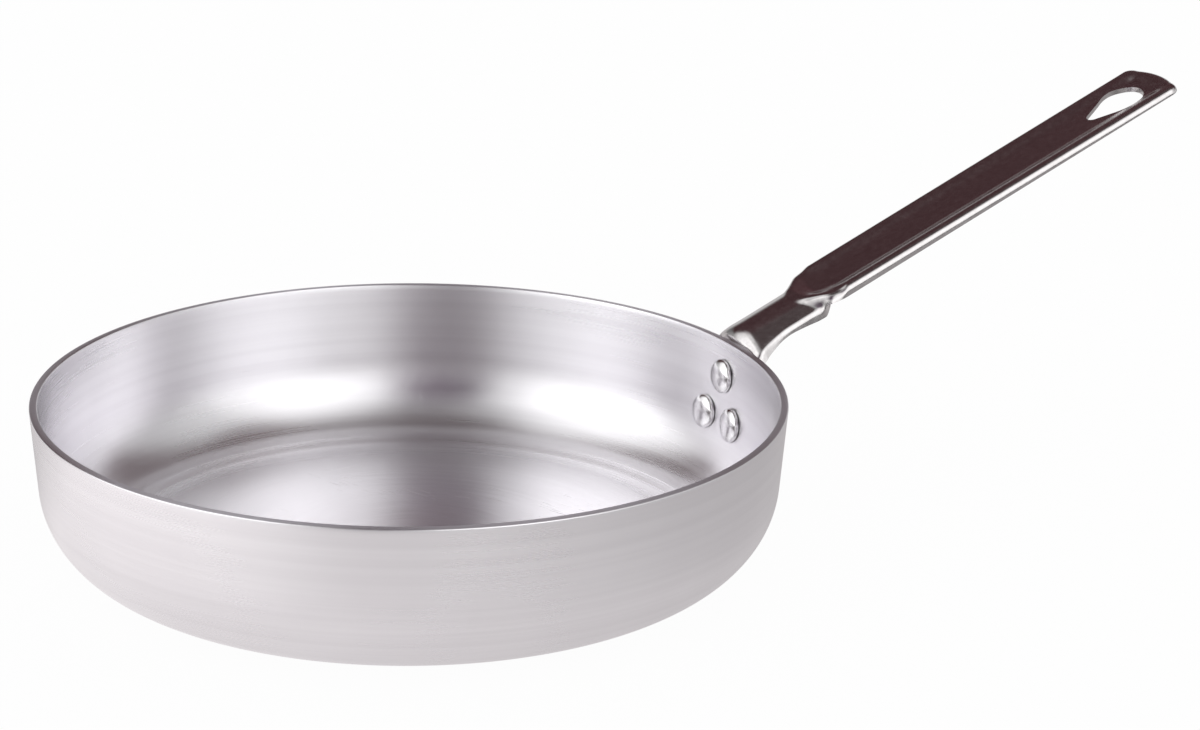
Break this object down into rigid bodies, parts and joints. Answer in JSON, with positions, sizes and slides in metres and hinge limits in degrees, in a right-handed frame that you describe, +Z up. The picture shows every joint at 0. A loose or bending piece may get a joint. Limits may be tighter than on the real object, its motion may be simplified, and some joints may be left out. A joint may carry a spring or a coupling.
{
  "type": "deep saute pan",
  "caption": "Deep round saute pan with rolled-in base corner, pressed channel handle rising from the rim with a teardrop hanging hole, held by rivets through the wall.",
  "frame": {"origin": "centre of the flat base, on the face that the pan stands on", "axes": "+Z is up, out of the open top; +X points from the pan's centre along the handle; +Y is to the left seen from the pan's centre looking along the handle"},
  "size_m": [0.4809, 0.28, 0.1462],
  "materials": {
    "spun_aluminium": "satin, with fine turned lines running round the pan",
    "polished_steel": "stainless steel polished to a mirror",
    "rivet_aluminium": "smooth and glossy"
  },
  "bodies": {
    "root": {"pan_body": "spun_aluminium", "handle": "polished_steel", "rivet_top": "rivet_aluminium", "rivet_low_left": "rivet_aluminium", "rivet_low_right": "rivet_aluminium"}
  },
  "joints": []
}
